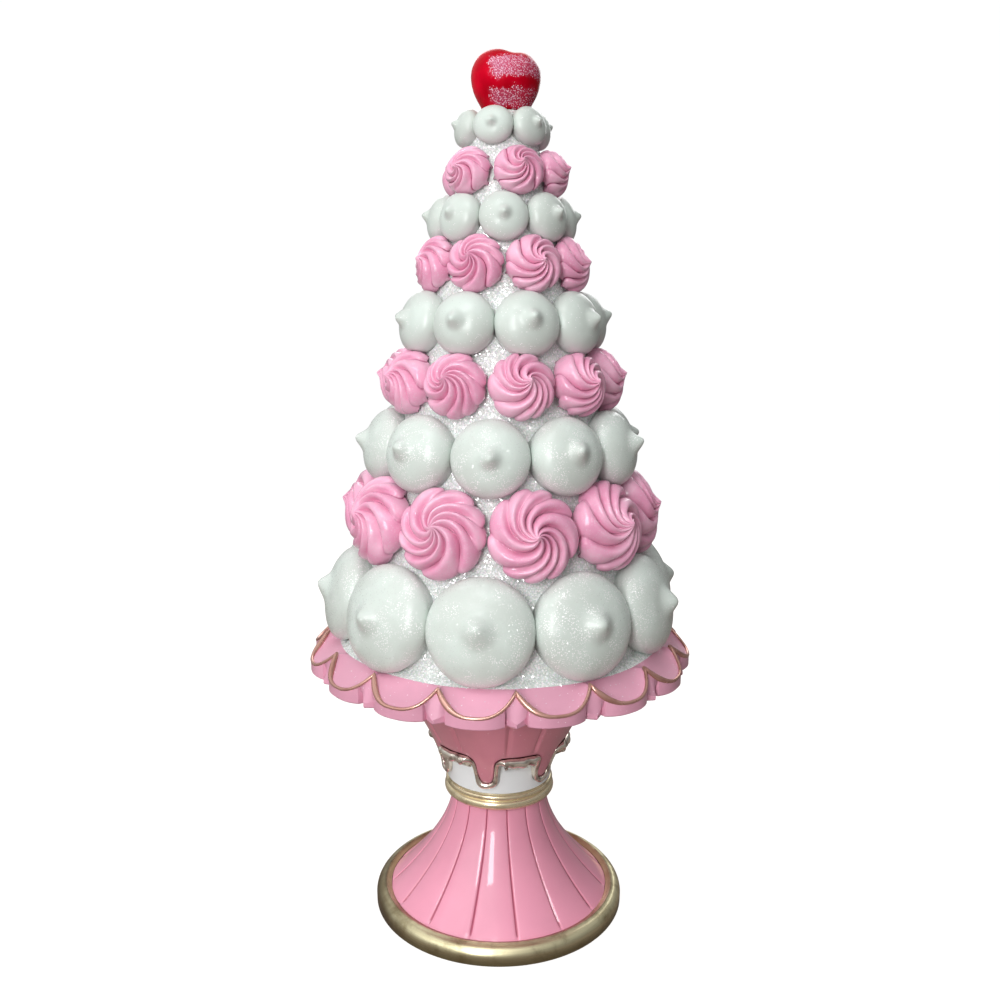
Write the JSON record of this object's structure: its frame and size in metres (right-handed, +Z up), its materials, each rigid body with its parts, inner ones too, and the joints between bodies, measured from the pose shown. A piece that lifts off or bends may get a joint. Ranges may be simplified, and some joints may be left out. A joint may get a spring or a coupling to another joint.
{
  "type": "valentines day cake",
  "caption": "Tall cone cake covered in piped dollops and rosettes, with a cherry on top, built together with its pedestal stand.",
  "frame": {"origin": "middle of the foot's underside, on the surface the stand rests on", "axes": "+Z up along the cone, -Y towards the side that faces the viewer, +X to the right of it"},
  "size_m": [0.1804, 0.1804, 0.4],
  "materials": {
    "antique_gold": "brushed antique gilt paint, worn darker in places",
    "pale_gold": "polished pale gilt",
    "rose_gold": "bronze pink gilt line",
    "pink_gloss": "high gloss paint on cast resin",
    "pink_cup": "semi-gloss dusky pink paint on cast resin",
    "pink_plate": "satin paint with sparse glitter",
    "white_gloss": "gloss enamel",
    "white_icing": "glossy, pale mint white, fine glitter",
    "pink_icing": "satin, frosty glitter on the crests",
    "glitter_icing": "coarse white glitter",
    "cherry_red": "high gloss with patches of silver pink glitter"
  },
  "bodies": {
    "root": {"foot_ring": "antique_gold", "pleated_foot": "pink_gloss", "collar_bead": "antique_gold", "collar_band": "white_gloss", "drip_cup": "pink_cup", "drip_edging": "pale_gold", "petal_plate": "pink_plate", "petal_edging": "rose_gold", "cake_cone": "glitter_icing", "cherry": "cherry_red", "dollop_ring_c": "white_icing", "dollop_ring_d": "white_icing", "dollop_ring_e": "white_icing", "rosette_ring_c": "pink_icing", "rosette_ring_d": "pink_icing", "dollop_a_01": "white_icing", "dollop_a_02": "white_icing", "dollop_a_03": "white_icing", "dollop_a_04": "white_icing", "dollop_a_05": "white_icing", "dollop_a_06": "white_icing", "dollop_a_07": "white_icing", "dollop_a_08": "white_icing", "dollop_a_09": "white_icing", "dollop_a_10": "white_icing", "rosette_a_01": "pink_icing", "rosette_a_02": "pink_icing", "rosette_a_03": "pink_icing", "rosette_a_04": "pink_icing", "rosette_a_05": "pink_icing", "rosette_a_06": "pink_icing", "rosette_a_07": "pink_icing", "rosette_a_08": "pink_icing", "rosette_a_09": "pink_icing", "rosette_a_10": "pink_icing", "dollop_b_01": "white_icing", "dollop_b_02": "white_icing", "dollop_b_03": "white_icing", "dollop_b_04": "white_icing", "dollop_b_05": "white_icing", "dollop_b_06": "white_icing", "dollop_b_07": "white_icing", "dollop_b_08": "white_icing", "dollop_b_09": "white_icing", "dollop_b_10": "white_icing", "rosette_b_01": "pink_icing", "rosette_b_02": "pink_icing", "rosette_b_03": "pink_icing", "rosette_b_04": "pink_icing", "rosette_b_05": "pink_icing", "rosette_b_06": "pink_icing", "rosette_b_07": "pink_icing", "rosette_b_08": "pink_icing", "rosette_b_09": "pink_icing", "rosette_b_10": "pink_icing"}
  },
  "joints": []
}
